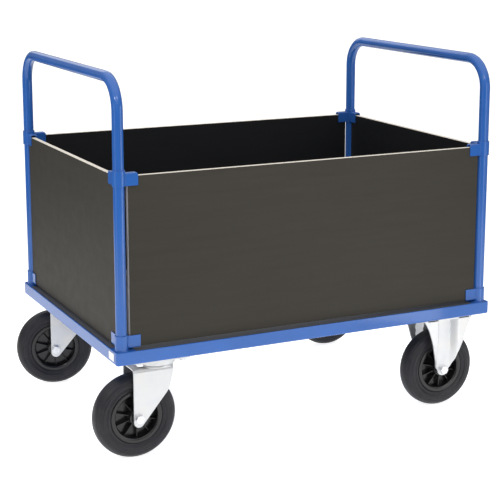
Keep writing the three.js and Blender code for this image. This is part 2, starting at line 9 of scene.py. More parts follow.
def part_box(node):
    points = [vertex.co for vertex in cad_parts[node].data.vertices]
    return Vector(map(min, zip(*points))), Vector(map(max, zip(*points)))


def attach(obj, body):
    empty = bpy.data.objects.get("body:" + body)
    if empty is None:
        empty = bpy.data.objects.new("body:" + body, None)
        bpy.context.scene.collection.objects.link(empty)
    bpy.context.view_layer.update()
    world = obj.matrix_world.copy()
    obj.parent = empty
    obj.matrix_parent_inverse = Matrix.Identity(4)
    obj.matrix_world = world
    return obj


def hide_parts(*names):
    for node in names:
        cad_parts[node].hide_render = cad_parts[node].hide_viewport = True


# A four-sided platform trolley: every visible CAD node gets its finished shape or its material here.
# Metres, +Z up, +X along the length towards the fixed castors. The frame gives every place.
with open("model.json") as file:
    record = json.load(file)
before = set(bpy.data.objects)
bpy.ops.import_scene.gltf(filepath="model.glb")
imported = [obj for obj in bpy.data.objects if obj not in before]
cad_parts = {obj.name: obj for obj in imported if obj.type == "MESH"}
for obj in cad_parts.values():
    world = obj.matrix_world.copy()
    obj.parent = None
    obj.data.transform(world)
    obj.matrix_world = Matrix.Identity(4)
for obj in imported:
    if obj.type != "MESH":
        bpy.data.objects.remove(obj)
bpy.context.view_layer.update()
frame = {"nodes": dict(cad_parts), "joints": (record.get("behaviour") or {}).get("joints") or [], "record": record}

MM = 0.001

# ---- sizes that the frame doesn't give, in metres --------------------------------------------------------
SHEET = 4 * MM  # rails, castor plates and forks
RAIL_FLANGE = 30 * MM
CORNER_RADIUS = 8 * MM  # upright corners of the deck frame
SLEEVE_RADIUS = 15 * MM
SLEEVE_BORE = 12.7 * MM
CLIP_SHEET = 2 * MM
CLIP_HALF_WIDTH = 8.3 * MM
CLIP_HEIGHT = 29 * MM
CORNER_PLATE = 44 * MM
SOCKET_CLIP_REACH = 43 * MM  # post axis to the end of a socket's clip
BOW_BEND = 70 * MM  # radius of the bow's bends, to the middle of the tube
BEAD_PITCH = 2.2 * MM  # ripples of a weld bead
BEAD_RIPPLE = 0.10

PLATE_HALF_X = 70 * MM  # castor top plates
PLATE_HALF_Y = 55 * MM
BOLT_PATTERN = (52.5 * MM, 40 * MM)
CUP_RADIUS = 47 * MM
FORK_HALF_WIDTH = 34.5 * MM  # castor's middle to a leg's outer face
FORK_TIP_RADIUS = 15.5 * MM  # rounded foot of a fixed fork's leg
BAND_HALF_WIDTH = 17 * MM  # upright band down the middle of a fixed fork's leg
FLANGE_START = 30 * MM  # beyond this the leg's flanges have flared out fully
LEG_HALF_WIDTHS = [  # height, half the leg's width, between the axle and the plate
    (107 * MM, 21.5 * MM),
    (125 * MM, 28.5 * MM),
    (153 * MM, 38 * MM),
    (185 * MM, 47 * MM),
    (209 * MM, 54.5 * MM),
    (225 * MM, 62.5 * MM),
]
FLANGE_DEPTHS = [  # height, castor's middle to the flanges' outer face
    (125 * MM, 44.5 * MM),
    (150 * MM, 50.5 * MM),
    (172 * MM, PLATE_HALF_Y),
]

AXLE_RADIUS = 6 * MM
AXLE_HEX = 19 * MM  # across flats
AXLE_WASHER_RADIUS = 11.5 * MM
TYRE_HALF_WIDTH = 25 * MM
TYRE_BULGE = 24 * MM  # depth of the curve from the crown to the sidewall
TYRE_SQUARENESS = 2.42  # 2 is an ellipse, and more is squarer
TYRE_LINES = [  # distance in from the crown, height (below 0 is a groove), width
    (4.5 * MM, -1.0 * MM, 0.8 * MM),
    (8.5 * MM, 0.5 * MM, 0.9 * MM),
    (15.5 * MM, -0.9 * MM, 0.9 * MM),
    (18.5 * MM, 0.5 * MM, 0.9 * MM),
    (23.0 * MM, -0.6 * MM, 0.8 * MM),
]
RIBS = 10
RIB_START = math.radians(16)
RIB_THICKNESS = 1.5 * MM

SWIVEL_CORNERS = ("front_left", "back_left")
FIXED_CORNERS = ("front_right", "back_right")
CORNERS = SWIVEL_CORNERS + FIXED_CORNERS
NOISE_RANGE = (0.3, 0.7)  # where nearly all of a noise's values lie

record = frame["record"]
body_of = {node: body for body, nodes in record["behaviour"]["bodies"].items() for node in nodes}
joint_of = {joint["name"]: joint for joint in frame["joints"]}


# ---- mesh tools ------------------------------------------------------------------------------------------
def circle(radius, count=48):
    turns = (2 * math.pi * i / count for i in range(count))
    return [(radius * math.cos(a), radius * math.sin(a)) for a in turns]


def rounded(corners, steps=6):
    """A closed outline. Each corner is (x, y), or (x, y, radius) where it is rounded."""
    points = []
    for i, corner in enumerate(corners):
        here = Vector(corner[:2])
        if len(corner) == 2:
            points.append(tuple(here))
            continue
        radius = corner[2]
        before = (Vector(corners[i - 1][:2]) - here).normalized()
        after = (Vector(corners[(i + 1) % len(corners)][:2]) - here).normalized()
        half = before.angle(after) / 2
        centre = here + (before + after).normalized() * radius / math.sin(half)
        start = here + before * radius / math.tan(half) - centre
        end = here + after * radius / math.tan(half) - centre
        sweep_angle = start.angle_signed(end)
        for step in range(steps + 1):
            turned = start.copy()
            turned.rotate(Matrix.Rotation(-sweep_angle * step / steps, 2))
            points.append(tuple(centre + turned))
    return points


def rectangle(low_a, low_b, high_a, high_b, corner):
    """A rectangle with rounded corners."""
    return rounded([
        (low_a, low_b, corner),
        (high_a, low_b, corner),
        (high_a, high_b, corner),
        (low_a, high_b, corner),
    ])


def sweep(rings, loop=False):
    """Skins rings of points that all have the same count, with flat ends unless it is a loop."""
    bm = bmesh.new()
    made = [[bm.verts.new(point) for point in ring] for ring in rings]
    pairs = list(zip(made, made[1:]))
    if loop:
        pairs.append((made[-1], made[0]))
    for one, two in pairs:
        for i in range(len(one)):
            j = (i + 1) % len(one)
            bm.faces.new((one[i], one[j], two[j], two[i]))
    if not loop:
        bm.faces.new(list(reversed(made[0])))
        bm.faces.new(made[-1])
    return bm


def extrude(outline, low, high, place):
    """An outline of (a, b) points between two heights; place(a, b, height) gives each point."""
    return sweep([[place(a, b, height) for a, b in outline] for height in (low, high)])


def mm(points):
    return [tuple(value * MM for value in point) for point in points]


def along_x(y, z, x):
    return (x, y, z)


def along_y(x, z, y):
    return (x, y, z)


def along_z(x, y, z):
    return (x, y, z)


def lathe(profile, segments=96, about="Z"):
    """Turns a closed profile of (radius, height) about Z, or about Y."""
    rings = []
    for i in range(segments):
        angle = 2 * math.pi * i / segments
        cos, sin = math.cos(angle), math.sin(angle)
        if about == "Z":
            rings.append([(r * cos, r * sin, h) for r, h in profile])
        else:
            rings.append([(r * cos, h, r * sin) for r, h in profile])
    return sweep(rings, loop=True)


def hex_head(across, height):
    """A hexagon with the curved chamfer of a turned bolt head, standing on z=0."""
    apothem = across / 2
    flat_radius = apothem * 0.93
    count = 36
    full, edge, top = [], [], []
    for i in range(count):
        angle = 2 * math.pi * i / count
        radius = apothem / math.cos((angle % (math.pi / 3)) - math.pi / 6)
        cos, sin = math.cos(angle), math.sin(angle)
        drop = (radius - flat_radius) * math.tan(math.radians(30))
        full.append((radius * cos, radius * sin, 0))
        edge.append((radius * cos, radius * sin, height - drop))
        top.append((flat_radius * cos, flat_radius * sin, height))
    return sweep([full, edge, top])


def joined(*parts):
    whole = parts[0]
    for part in parts[1:]:
        spare = bpy.data.meshes.new("spare")
        part.to_mesh(spare)
        part.free()
        whole.from_mesh(spare)
        bpy.data.meshes.remove(spare)
    return whole


def moved(bm, matrix):
    bmesh.ops.transform(bm, matrix=matrix, verts=bm.verts)
    return bm


def shifted(bm, x=0, y=0, z=0):
    return moved(bm, Matrix.Translation((x, y, z)))


def make_object(name, bm):
    bmesh.ops.remove_doubles(bm, verts=bm.verts, dist=0.001 * MM)
    bmesh.ops.recalc_face_normals(bm, faces=bm.faces)
    mesh = bpy.data.meshes.new(name)
    bm.to_mesh(mesh)
    bm.free()
    obj = bpy.data.objects.new(name, mesh)
    bpy.context.scene.collection.objects.link(obj)
    return obj


def apply_modifiers(obj):
    bpy.context.view_layer.update()
    evaluated = obj.evaluated_get(bpy.context.evaluated_depsgraph_get())
    mesh = bpy.data.meshes.new_from_object(evaluated)
    obj.modifiers.clear()
    spare = obj.data
    obj.data = mesh
    bpy.data.meshes.remove(spare)


def trimmed(bm, tool):
    """The part of one solid that lies in another, as a new bmesh."""
    whole = make_object("whole", bm)
    other = make_object("tool", tool)
    cut = whole.modifiers.new("cut", "BOOLEAN")
    cut.operation = "INTERSECT"
    cut.object = other
    cut.solver = "EXACT"
    apply_modifiers(whole)
    result = bmesh.new()
    result.from_mesh(whole.data)
    for obj in (whole, other):
        mesh = obj.data
        bpy.data.objects.remove(obj)
        bpy.data.meshes.remove(mesh)
    return result


def soften(obj, width, segments=3):
    """Rounds the sharp edges by width, and keeps the flats flat to the eye."""
    bevel = obj.modifiers.new("edges", "BEVEL")
    bevel.width = width
    bevel.segments = segments
    bevel.limit_method = "ANGLE"
    bevel.angle_limit = math.radians(32)
    bevel.use_clamp_overlap = True
    apply_modifiers(obj)


def shade(obj, sharp_degrees=38):
    mesh = obj.data
    mesh.polygons.foreach_set("use_smooth", [True] * len(mesh.polygons))
    mesh.set_sharp_from_angle(angle=math.radians(sharp_degrees))
    normals = obj.modifiers.new("normals", "WEIGHTED_NORMAL")
    normals.keep_sharp = True
    apply_modifiers(obj)


def piece(name, bm, material, body, edge=0.0, nodes=(), segments=3):
    """A finished piece on a CAD body, standing for the CAD nodes given."""
    obj = make_object(name, bm)
    if edge:
        soften(obj, edge, segments)
    shade(obj)
    obj.data.materials.clear()
    obj.data.materials.append(material)
    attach(obj, body)
    if nodes:
        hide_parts(*nodes)
    return obj


def finished(node, bm, material, edge=0.0, segments=3):
    """The piece that stands for one CAD node, with the node's own body."""
    return piece(node + "_finished", bm, material, body_of[node], edge, [node], segments)


def repaint(node, material):
    """Gives a CAD node whose shape is right its material."""
    materials = frame["nodes"][node].data.materials
    materials.clear()
    materials.append(material)


# ---- materials -------------------------------------------------------------------------------------------
class Finish:
    """A Principled material whose detail is worked out from the object's own coordinates, in metres."""

    def __init__(self, name, color, roughness, **sockets):
        self.material = bpy.data.materials.new(name)
        self.material.use_nodes = True
        self.tree = self.material.node_tree
        self.shader = self.tree.nodes["Principled BSDF"]
        self.set("Base Color", (*color, 1))
        self.set("Roughness", roughness)
        for socket, value in sockets.items():
            self.set(socket.replace("_", " "), value)
        self.color = color
        self.place = self.node("ShaderNodeTexCoord").outputs["Object"]
        self.last_bump = None

    def set(self, socket, value):
        self.shader.inputs[socket].default_value = value

    def node(self, kind, **inputs):
        made = self.tree.nodes.new(kind)
        for name, value in inputs.items():
            self.feed(made.inputs[name.replace("_", " ")], value)
        return made

    def feed(self, socket, value):
        if isinstance(value, bpy.types.NodeSocket):
            self.tree.links.new(value, socket)
        else:
            socket.default_value = value

    def stretched(self, scale):
        mapping = self.node("ShaderNodeMapping", Vector=self.place)
        mapping.inputs["Scale"].default_value = scale
        return mapping.outputs["Vector"]

    def noise(self, scale, detail=4.0, roughness=0.55, stretch=None):
        vector = self.stretched(stretch) if stretch else self.place
        return self.node(
            "ShaderNodeTexNoise", Vector=vector, Scale=scale, Detail=detail, Roughness=roughness
        ).outputs["Fac"]

    def ramp(self, factor, stops):
        ramp = self.node("ShaderNodeValToRGB", Fac=factor)
        elements = ramp.color_ramp.elements
        stops = list(stops)
        while len(elements) < len(stops):
            elements.new(1.0)
        for element, (position, color) in zip(elements, stops):
            element.position = position
            element.color = (*color, 1) if isinstance(color, (tuple, list)) else (color, color, color, 1)
        return ramp.outputs["Color"]

    def math(self, operation, one, two=0.0):
        made = self.tree.nodes.new("ShaderNodeMath")
        made.operation = operation
        self.feed(made.inputs[0], one)
        self.feed(made.inputs[1], two)
        return made.outputs[0]

    def mapped(self, value, source, result, smooth=False):
        """Takes a value from one (low, high) range to another."""
        made = self.node("ShaderNodeMapRange", Value=value)
        if smooth:
            made.interpolation_type = "SMOOTHSTEP"
        made.inputs["From Min"].default_value, made.inputs["From Max"].default_value = source
        made.inputs["To Min"].default_value, made.inputs["To Max"].default_value = result
        return made.outputs["Result"]

    def mix(self, factor, one, two, blend="MIX"):
        made = self.tree.nodes.new("ShaderNodeMix")
        made.data_type = "RGBA"
        made.blend_type = blend
        self.feed(made.inputs["Factor"], factor)
        self.feed(made.inputs[6], one if isinstance(one, bpy.types.NodeSocket) else (*one, 1))
        self.feed(made.inputs[7], two if isinstance(two, bpy.types.NodeSocket) else (*two, 1))
        return made.outputs[2]

    def tint(self, factor, spread):
        """The finish's colour, darker and lighter by spread where the factor is low and high."""
        low = tuple(c * (1 - spread) for c in self.color)
        high = tuple(min(c * (1 + spread), 1.0) for c in self.color)
        return self.ramp(factor, zip(NOISE_RANGE, (low, high)))

    def paint(self, color):
        self.feed(self.shader.inputs["Base Color"], color)

    def gloss(self, factor, low, high):
        self.feed(self.shader.inputs["Roughness"], self.mapped(factor, NOISE_RANGE, (low, high)))

    def bump(self, height, depth, strength=1.0):
        made = self.node("ShaderNodeBump", Height=height, Distance=depth, Strength=strength)
        if self.last_bump:
            self.tree.links.new(self.last_bump, made.inputs["Normal"])
        self.last_bump = made.outputs["Normal"]
        self.feed(self.shader.inputs["Normal"], self.last_bump)


def powder_coat():
    """Blue powder coat: smooth orange peel, a clear gloss and a few faint scuffs."""
    f = Finish(
        "blue_powder_coat", (0.026, 0.116, 0.41), 0.3,
        Coat_Weight=1.0, Coat_Roughness=0.1, Specular_IOR_Level=0.0,
    )
    tone = f.tint(f.noise(6, 3), 0.07)
    scuffs = f.ramp(f.noise(34, 6, 0.7, (1, 1, 0.25)), [(0.70, 0.0), (0.78, 0.3)])
    f.paint(f.mix(scuffs, tone, (0.07, 0.17, 0.50)))
    f.gloss(f.noise(48, 4), 0.16, 0.26)
    f.bump(f.noise(330, 2, 0.4), 0.05 * MM, 0.35)
    f.bump(f.noise(1400, 2), 0.02 * MM, 0.35)
    return f.material


def film(name, color, roughness, specular=0.35):
    """Phenolic film on plywood: the grain shows faintly through, under a fine grainy surface."""
    f = Finish(name, color, roughness, Specular_IOR_Level=specular)
    grain = f.noise(9, 8, 0.65, (0.6, 0.6, 9))
    cloud = f.noise(3, 3)
    tone = f.mix(0.4, f.tint(grain, 0.11), f.tint(cloud, 0.06))
    f.paint(tone)
    f.gloss(f.noise(30, 5, 0.6), roughness - 0.03, roughness + 0.05)
    f.bump(grain, 0.05 * MM, 0.4)
    f.bump(f.noise(900, 3), 0.03 * MM, 0.3)
    return f.material


def ply_edge(name, thickness_axis, centre, thickness):
    """The sawn edge of birch plywood: thin plies, pale along the grain and darker across it."""
    plies = 9
    f = Finish(name, (0.80, 0.73, 0.64), 0.72)
    apart = f.node("ShaderNodeSeparateXYZ", Vector=f.place).outputs[thickness_axis]
    across = f.math("ADD", f.math("DIVIDE", f.math("SUBTRACT", apart, centre), thickness), 0.5)
    layer = f.math("FRACT", f.math("MULTIPLY", f.math("ADD", across, 2.0), plies / 2))
    waver = f.math("MULTIPLY", f.math("SUBTRACT", f.noise(60, 3), 0.5), 0.12)
    plies_color = f.ramp(f.math("ADD", layer, waver), [
        (0.0, (0.36, 0.28, 0.20)),
        (0.04, (0.86, 0.81, 0.73)),
        (0.46, (0.88, 0.84, 0.76)),
        (0.50, (0.38, 0.30, 0.21)),
        (0.54, (0.68, 0.60, 0.50)),
        (0.96, (0.72, 0.65, 0.55)),
    ])
    pores = f.ramp(f.noise(700, 6, 0.7), [(0.38, 0.55), (0.5, 1.0)])
    f.paint(f.mix(0.8, plies_color, pores, "MULTIPLY"))
    f.bump(f.noise(500, 5, 0.7), 0.15 * MM, 0.6)
    return f.material


def zinc():
    """Bright zinc plate on pressed steel, with soft wide mottling."""
    f = Finish("zinc_plate", (0.65, 0.66, 0.67), 0.3, Metallic=0.6)
    f.paint(f.ramp(f.noise(28, 3, 0.5), [
        (0.3, (0.62, 0.635, 0.655)),
        (0.5, (0.65, 0.657, 0.665)),
        (0.7, (0.68, 0.675, 0.665)),
    ]))
    f.gloss(f.noise(60, 3, 0.5), 0.30, 0.37)  # below about 0.275, bright faces render with dark specks
    f.bump(f.noise(260, 3, 0.5), 0.01 * MM, 0.3)
    return f.material


def fastener_steel():
    """Zinc-plated fasteners, turned and a little duller than the sheet."""
    f = Finish("fastener_steel", (0.76, 0.77, 0.79), 0.32, Metallic=0.85)
    f.paint(f.tint(f.noise(300, 4), 0.12))
    f.gloss(f.noise(500, 3), 0.24, 0.44)
    f.bump(f.noise(1500, 3), 0.03 * MM, 0.5)
    return f.material


def rubber():
    """Grey-black solid rubber, matt, with a mould-skin texture and traces of dust."""
    f = Finish("tyre_rubber", (0.018, 0.018, 0.022), 0.4, Specular_IOR_Level=0.26)
    dust = f.ramp(f.noise(22, 6, 0.65), [(0.55, 0.0), (0.8, 0.22)])
    f.paint(f.mix(dust, f.tint(f.noise(70, 4), 0.14), (0.075, 0.074, 0.073)))
    f.gloss(f.noise(60, 5), 0.36, 0.5)
    f.bump(f.noise(1100, 4, 0.6), 0.05 * MM, 0.6)
    return f.material


def rim_plastic():
    """Black moulded polypropylene with a fine spark-eroded grain."""
    f = Finish("wheel_plastic", (0.008, 0.008, 0.009), 0.22)
    f.paint(f.tint(f.noise(90, 3), 0.2))
    f.gloss(f.noise(120, 4), 0.18, 0.27)
    f.bump(f.noise(1800, 2, 0.5), 0.04 * MM, 0.5)
    return f.material


def label_paper():
    """A blank matt sticker with a slightly fibrous face."""
    f = Finish("label_paper", (0.88, 0.88, 0.85), 0.55)
    f.paint(f.tint(f.noise(500, 5), 0.04))
    f.bump(f.noise(900, 4), 0.02 * MM, 0.4)
    return f.material


BLUE = powder_coat()
OUTER_FILM = film("outer_film", (0.045, 0.0410, 0.0340), 0.5, 0.09)
INNER_FILM = film("inner_film", (0.0105, 0.0110, 0.0125), 0.5, 0.2)
DECK_FILM = film("deck_film", (0.075, 0.080, 0.095), 0.5)
ZINC = zinc()
STEEL = fastener_steel()
RUBBER = rubber()
PLASTIC = rim_plastic()
PAPER = label_paper()


# ---- places read from the frame --------------------------------------------------------------------------
deck_low = Vector((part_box("left_rail")[0].x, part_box("front_rail")[0].y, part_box("front_rail")[0].z))
deck_high = Vector((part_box("right_rail")[1].x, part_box("back_rail")[1].y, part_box("front_rail")[1].z))
deck_centre = (deck_low + deck_high) / 2
half_length = (deck_high.x - deck_low.x) / 2
half_width = (deck_high.y - deck_low.y) / 2

bow_low, bow_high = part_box("right_push_bow")
tube_radius = (bow_high.x - bow_low.x) / 2
post_x = (bow_high.x + bow_low.x) / 2 - deck_centre.x
post_y = bow_high.y - tube_radius


def corner_matrix(corner):
    """Takes a piece modelled about the post of the back right corner to any corner."""
    sign_x = -1 if corner.endswith("left") else 1
    sign_y = -1 if corner.startswith("front") else 1
    place = Matrix.Translation((deck_centre.x + sign_x * post_x, sign_y * post_y, 0))
    return place @ Matrix.Diagonal((sign_x, sign_y, 1, 1))


# ---- deck frame ------------------------------------------------------------------------------------------
def rail_section():
    """The angle's section as (distance inwards from the outer face, height)."""
    low, high = deck_low.z, deck_high.z
    return rounded([
        (0, low, 4.5 * MM),
        (0, high, 1.4 * MM),
        (SHEET, high, 1.2 * MM),
        (SHEET, low + SHEET, 1.5 * MM),
        (RAIL_FLANGE, low + SHEET, 1.0 * MM),
        (RAIL_FLANGE, low, 1.0 * MM),
    ])


def rail_ring(section, corner_angle, angle):
    """The section at one heading round a corner of the deck frame."""
    sign_x = math.copysign(1, math.cos(corner_angle))
    sign_y = math.copysign(1, math.sin(corner_angle))
    ring = []
    for inwards, height in section:
        reach = max(inwards, CORNER_RADIUS)
        x = sign_x * (half_length - reach)
        y = sign_y * (half_width - reach)
        if inwards < CORNER_RADIUS:
            x += (CORNER_RADIUS - inwards) * math.cos(angle)
            y += (CORNER_RADIUS - inwards) * math.sin(angle)
        ring.append((deck_centre.x + x, y, height))
    return ring


def build_rails():
    section = rail_section()
    arc_steps = 6
    mitre = math.pi / 4
    for node, facing in (("right_rail", 0), ("back_rail", 90), ("left_rail", 180), ("front_rail", 270)):
        heading = math.radians(facing)
        rings = []
        for step in range(arc_steps + 1):
            angle = heading - mitre + mitre * step / arc_steps
            rings.append(rail_ring(section, heading - mitre, angle))
        for step in range(arc_steps + 1):
            angle = heading + mitre * step / arc_steps
            rings.append(rail_ring(section, heading + mitre, angle))
        finished(node, sweep(rings), BLUE)


def build_channels():
    """Folded channels with rounded bends, open upwards."""
    for node in ("left_castor_channel", "right_castor_channel"):
        low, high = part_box(node)
        section = rounded([
            (low.x, low.z, 5 * MM),
            (low.x, high.z, 1 * MM),
            (low.x + SHEET, high.z, 1 * MM),
            (low.x + SHEET, low.z + SHEET, 2 * MM),
            (high.x - SHEET, low.z + SHEET, 2 * MM),
            (high.x - SHEET, high.z, 1 * MM),
            (high.x, high.z, 1 * MM),
            (high.x, low.z, 5 * MM),
        ])
        finished(node, extrude(section, low.y, high.y, along_y), BLUE, 0.6 * MM)


def build_deck_board():
    repaint("deck_board", DECK_FILM)


# ---- push bows -------------------------------------------------------------------------------------------
def build_bow(node):
    low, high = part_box(node)
    centre_x = (low.x + high.x) / 2
    bend_steps = 24
    top = high.z - tube_radius
    side = high.y - tube_radius
    path = [(-side, low.z, math.pi), (-side, (low.z + top) / 2, math.pi)]
    for sign in (-1, 1):
        for step in range(bend_steps + 1):
            turn = math.pi / 2 * step / bend_steps
            angle = math.pi - turn if sign < 0 else math.pi / 2 - turn
            y = sign * (side - BOW_BEND) + BOW_BEND * math.cos(angle)
            path.append((y, top - BOW_BEND + BOW_BEND * math.sin(angle), angle))
    path += [(side, (low.z + top) / 2, 0), (side, low.z, 0)]
    rings = []
    for y, z, angle in path:
        out_y, out_z = math.cos(angle), math.sin(angle)
        rings.append([(centre_x + a, y + b * out_y, z + b * out_z) for a, b in circle(tube_radius)])
    finished(node, sweep(rings), BLUE)


# ---- corner sockets and top brackets ---------------------------------------------------------------------
def sleeve(low, high):
    lip = 0.7 * MM
    return lathe([
        (SLEEVE_BORE, low),
        (SLEEVE_RADIUS - lip, low),
        (SLEEVE_RADIUS, low + lip),
        (SLEEVE_RADIUS, high - lip),
        (SLEEVE_RADIUS - lip, high),
        (SLEEVE_BORE, high),
    ], 72)


def clip(web, side, reach):
    """A folded clip along +X from the post: its web is over (side 1) or under (side -1) the panel's edge.

    The folded strip is made longer than the clip, and an outline seen from the side trims it.
    """
    start = SLEEVE_BORE
    free = web - side * CLIP_HEIGHT
    inner = CLIP_HALF_WIDTH - CLIP_SHEET
    section = rounded([
        (-CLIP_HALF_WIDTH, free),
        (-CLIP_HALF_WIDTH, web, 3 * MM),
        (CLIP_HALF_WIDTH, web, 3 * MM),
        (CLIP_HALF_WIDTH, free),
        (inner, free),
        (inner, web - side * CLIP_SHEET, 1 * MM),
        (-inner, web - side * CLIP_SHEET, 1 * MM),
        (-inner, free),
    ])
    margin = 5 * MM
    outline = rounded([
        (start - margin, free - side * margin),
        (start - margin, web + side * margin),
        (reach - 5 * MM, web + side * margin),
        (reach - 3.4 * MM, web, 2 * MM),
        (reach, web - side * 4 * MM, 2 * MM),
        (reach, free, 1.5 * MM),
        (reach - 3 * MM, free - side * margin),
    ])
    folded = extrude(section, start, reach + margin, along_x)
    return trimmed(folded, extrude(outline, -2 * CLIP_HALF_WIDTH, 2 * CLIP_HALF_WIDTH, along_y))


def weld_bead(start, end, radius):
    """A rippled bead between two points, thinner at its ends."""
    start, end = Vector(start), Vector(end)
    along = (end - start).normalized()
    side = along.orthogonal().normalized()
    other = along.cross(side)
    length = (end - start).length
    steps = max(int(length / BEAD_PITCH * 4), 4)
    rings = []
    for step in range(steps + 1):
        share = step / steps
        ripple = 1 + BEAD_RIPPLE * math.cos(2 * math.pi * share * length / BEAD_PITCH)
        taper = min(1.0, 0.35 + 6 * min(share, 1 - share))
        centre = start + along * length * share
        size = radius * ripple * taper
        rings.append([tuple(centre + side * a * size + other * b * size) for a, b in circle(1, 10)])
    return sweep(rings)


def ring_bead(radius, height, size):
    """A rippled bead round a sleeve's foot."""
    ripples = 44
    count = ripples * 4
    rings = []
    for i in range(count):
        angle = 2 * math.pi * i / count
        swell = size * (1 + BEAD_RIPPLE * math.cos(angle * ripples))
        out = Vector((math.cos(angle), math.sin(angle), 0))
        centre = out * radius + Vector((0, 0, height))
        rings.append([tuple(centre + out * a * swell + Vector((0, 0, b * swell))) for a, b in circle(1, 10)])
    return sweep(rings, loop=True)


def clip_pair(web, side, reach):
    """The two clips of a corner, one along -X and one along -Y, with their welds to the sleeve."""
    parts = []
    for turn in (math.pi, -math.pi / 2):
        spin = Matrix.Rotation(turn, 4, "Z")
        parts.append(moved(clip(web, side, reach), spin))
        foot = math.sqrt(SLEEVE_RADIUS**2 - CLIP_HALF_WIDTH**2) + 0.6 * MM
        low, high = sorted((web - side * 3 * MM, web - side * (CLIP_HEIGHT - 2 * MM)))
        for across in (-CLIP_HALF_WIDTH, CLIP_HALF_WIDTH):
            bead = weld_bead((foot, across * 0.98, low), (foot, across * 0.98, high), 1.2 * MM)
            parts.append(moved(bead, spin))
    return parts


def build_brackets():
    low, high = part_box("back_right_panel_bracket")
    reach = post_x + deck_centre.x - low.x
    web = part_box("back_panel")[1].z + 7.5 * MM
    for corner in CORNERS:
        whole = joined(sleeve(low.z, high.z), *clip_pair(web, 1, reach))
        finished(f"{corner}_panel_bracket", moved(whole, corner_matrix(corner)), BLUE, 0.35 * MM, 2)


def build_sockets():
    low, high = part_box("back_right_socket")
    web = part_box("back_panel")[0].z - 2.3 * MM
    outer_x = high.x - deck_centre.x - post_x
    outer_y = high.y - post_y
    chamfer = 6 * MM
    plate = rounded([
        (outer_x - CORNER_PLATE, outer_y - CORNER_PLATE, 3 * MM),
        (outer_x, outer_y - CORNER_PLATE, 2 * MM),
        (outer_x, outer_y - chamfer, 3 * MM),
        (outer_x - chamfer, outer_y, 3 * MM),
        (outer_x - CORNER_PLATE, outer_y, 2 * MM),
    ])
    plate_top = deck_high.z
    for corner in CORNERS:
        whole = joined(
            sleeve(low.z, high.z),
            extrude(plate, plate_top - SHEET, plate_top, along_z),
            ring_bead(SLEEVE_RADIUS + 0.4 * MM, plate_top + 0.4 * MM, 1.3 * MM),
            *clip_pair(web, -1, SOCKET_CLIP_REACH),
        )
        finished(f"{corner}_socket", moved(whole, corner_matrix(corner)), BLUE, 0.35 * MM, 2)


# ---- panels and label ------------------------------------------------------------------------------------
def build_panel(node, thickness_axis, outer_sign):
    low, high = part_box(node)
    outline = [(low.x, low.y), (high.x, low.y), (high.x, high.y), (low.x, high.y)]
    board = finished(node, extrude(outline, low.z, high.z, along_z), OUTER_FILM, 0.5 * MM, 2)
    centre = (low[thickness_axis] + high[thickness_axis]) / 2
    thickness = high[thickness_axis] - low[thickness_axis]
    board.data.materials.append(INNER_FILM)
    board.data.materials.append(ply_edge(node + "_edge", thickness_axis, centre, thickness))
    for face in board.data.polygons:
        facing = face.normal[thickness_axis] * outer_sign
        if facing > 0.9:
            face.material_index = 0
        elif facing < -0.9:
            face.material_index = 1
        else:
            face.material_index = 2


def build_label():
    low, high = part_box("blank_label")
    outline = rectangle(low.y, low.z, high.y, high.z, 2 * MM)
    finished("blank_label", extrude(outline, low.x, high.x, along_x), PAPER, 0.12 * MM, 2)


# ---- wheels ----------------------------------------------------------------------------------------------
def axle_turn(corner):
    """The turn about Z that brings +Y onto the wheel's axle."""
    axis = joint_of[f"{corner}_wheel_spin"]["axis"]
    return Matrix.Rotation(math.atan2(-axis[0], axis[1]), 4, "Z")


def wheel_matrix(corner):
    """The wheel's centre, with its axle along local Y."""
    return Matrix.Translation(joint_of[f"{corner}_wheel_spin"]["pos_m"]) @ axle_turn(corner)


def tyre_profile(radius):
    """Half of the section as (radius, height), from the bead to the crown: bead ring, sidewall, shoulder."""
    power = 2 / TYRE_SQUARENESS
    points = mm([(63.3, 19.2), (64.2, 20.6), (66.5, 21.6), (70.5, 22.6), (71.0, 22.1), (71.8, 22.2)])
    steps = 44
    for step in range(steps + 1):
        angle = math.pi / 2 * (1 - step / steps)
        r = radius - TYRE_BULGE + TYRE_BULGE * math.cos(angle) ** power if step else radius - TYRE_BULGE
        h = TYRE_HALF_WIDTH * math.sin(angle) ** power if step < steps else 0.0
        for line, height, width in TYRE_LINES:
            h += height * math.exp(-(((r - radius + line) / width) ** 2))
        points.append((r, max(h, 0.0)))
    return points


def tyre(radius):
    half = tyre_profile(radius)
    mirrored = [(r, -h) for r, h in reversed(half[:-1])]
    return lathe(half + mirrored, 128, "Y")


def both_sides(half):
    """Half of a (radius, height) profile in millimetres, closed by its mirror image."""
    half = mm(half)
    return half + [(r, -h) for r, h in reversed(half)]


def rim():
    """Rim ring with a rolled lip on each side, a thin web, thin tapered ribs and a stepped hub."""
    ring = both_sides([
        (62.9, 19.6),
        (62.2, 20.8),
        (60.5, 21.4),
        (56.0, 21.4),
        (53.8, 20.7),
        (52.2, 19.2),
        (51.1, 17.2),
        (50.4, 14.5),
        (49.2, 3.4),
    ])
    hub = both_sides([(10.4, 26.0), (17.6, 26.0), (18.6, 25.2), (19.6, 18.0), (22.0, 3.4)])
    web = both_sides([(21.0, 2.2), (50.0, 2.2)])
    parts = [lathe(ring, 128, "Y"), lathe(hub, 64, "Y"), lathe(web, 96, "Y")]
    outline = mm([(18.5, 17.5), (50.6, 13), (50.6, -13), (18.5, -17.5)])
    for i in range(RIBS):
        rib = extrude(outline, -RIB_THICKNESS / 2, RIB_THICKNESS / 2, along_z)
        parts.append(moved(rib, Matrix.Rotation(RIB_START + 2 * math.pi * i / RIBS, 4, "Y")))
    return joined(*parts)


